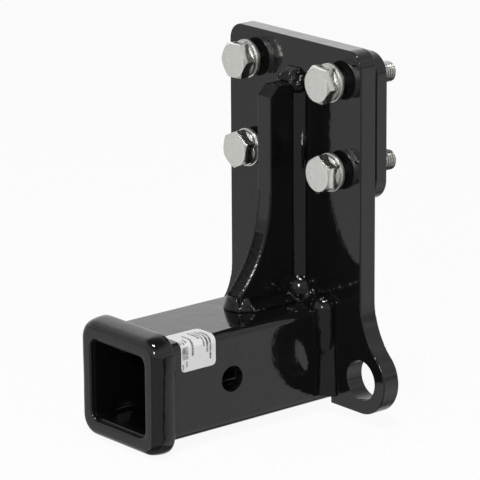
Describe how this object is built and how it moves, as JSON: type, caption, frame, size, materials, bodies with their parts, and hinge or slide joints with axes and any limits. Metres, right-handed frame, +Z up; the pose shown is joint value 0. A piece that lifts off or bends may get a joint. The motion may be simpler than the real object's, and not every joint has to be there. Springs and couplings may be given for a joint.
{
  "type": "receiver hitch",
  "caption": "Square receiver tube with a collared mouth and a cross hole for a pin, welded through a bolt-on plate with a gusset, chain lugs, a spacer and loose bolts.",
  "frame": {"origin": "middle of the hitch pin's axis, on the centre line of the receiver tube", "axes": "+Y along the tube from its mouth towards the vehicle, +Z up towards the bolts, +X to the right seen from the mouth, along the hitch pin"},
  "size_m": [0.1726, 0.1928, 0.2413],
  "materials": {
    "black_paint": "gloss",
    "painted_weld": "gloss, rippled",
    "zinc_plate": "zinc plated",
    "label_film": "printed film, blank"
  },
  "bodies": {
    "root": {"mounting_plate": "black_paint", "spacer_plate": "black_paint", "receiver_collar": "black_paint", "receiver_tube": "black_paint", "gusset": "black_paint", "slot_weld": "painted_weld", "tube_weld_right": "painted_weld", "tube_weld_left": "painted_weld", "gusset_weld_top": "painted_weld", "gusset_weld_nose": "painted_weld", "gusset_foot_weld_right": "painted_weld", "gusset_foot_weld_left": "painted_weld", "gusset_weld_right": "painted_weld", "gusset_weld_left": "painted_weld", "tube_top_weld_right": "painted_weld", "tube_top_weld_left": "painted_weld", "collar_weld_upper": "painted_weld", "collar_weld_lower": "painted_weld", "spacer_weld_right": "painted_weld", "spacer_weld_left": "painted_weld", "bolts": "zinc_plate", "lock_washers": "zinc_plate", "flat_washers": "zinc_plate", "label": "label_film"}
  },
  "joints": []
}
